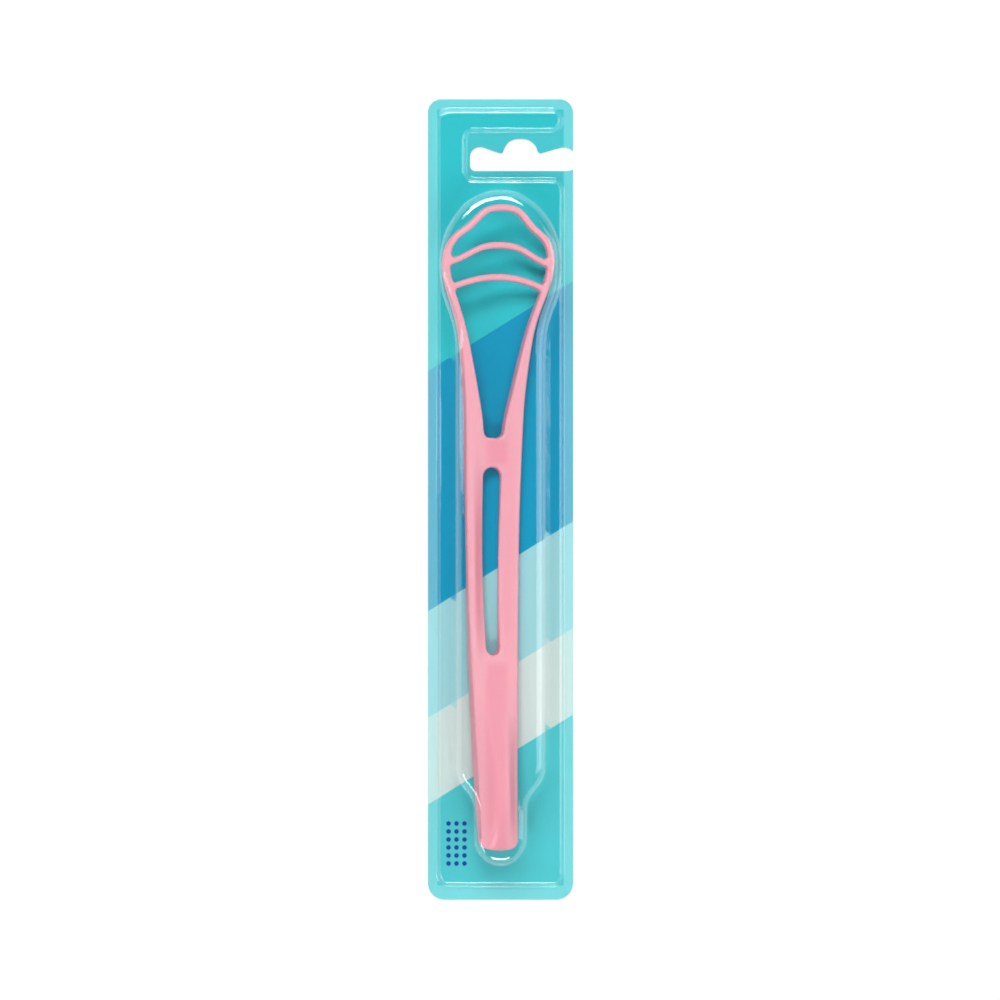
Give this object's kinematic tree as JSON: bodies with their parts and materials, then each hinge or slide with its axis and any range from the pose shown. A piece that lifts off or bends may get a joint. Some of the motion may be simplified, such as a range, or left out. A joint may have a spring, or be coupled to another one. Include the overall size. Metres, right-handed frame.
{
  "type": "tongue scraper in blister pack",
  "caption": "Moulded tongue scraper with slotted handle, forked neck and curved scraping blades, held in a clear blister on a backing card with a hang slot.",
  "frame": {"origin": "middle of the pack's outline, on the back of the card", "axes": "+X across the pack towards the open end of the hang slot, +Y along the pack towards the hang slot, +Z out of the card towards the blister"},
  "size_m": [0.0434, 0.24, 0.0187],
  "materials": {
    "scraper": "pink polypropylene, satin gloss",
    "blister": "clear thermoformed PET sheet",
    "backing_card": "coated board, printed on the front"
  },
  "bodies": {
    "card": {"backing_card": "backing_card"},
    "shell": {"blister": "blister"},
    "scraper": {"scraper": "scraper"}
  },
  "joints": [
    {"name": "blister_lift", "type": "slide", "parent": "card", "child": "shell", "axis": [0, 0, 1], "range_m": [0, 0.06]},
    {"name": "scraper_lift", "type": "slide", "parent": "card", "child": "scraper", "axis": [0, 0, 1], "range_m": [0, 0.03]}
  ],
  "couplings": [
    {"joint": "scraper_lift", "follows": "blister_lift", "ratio": 0.5}
  ]
}
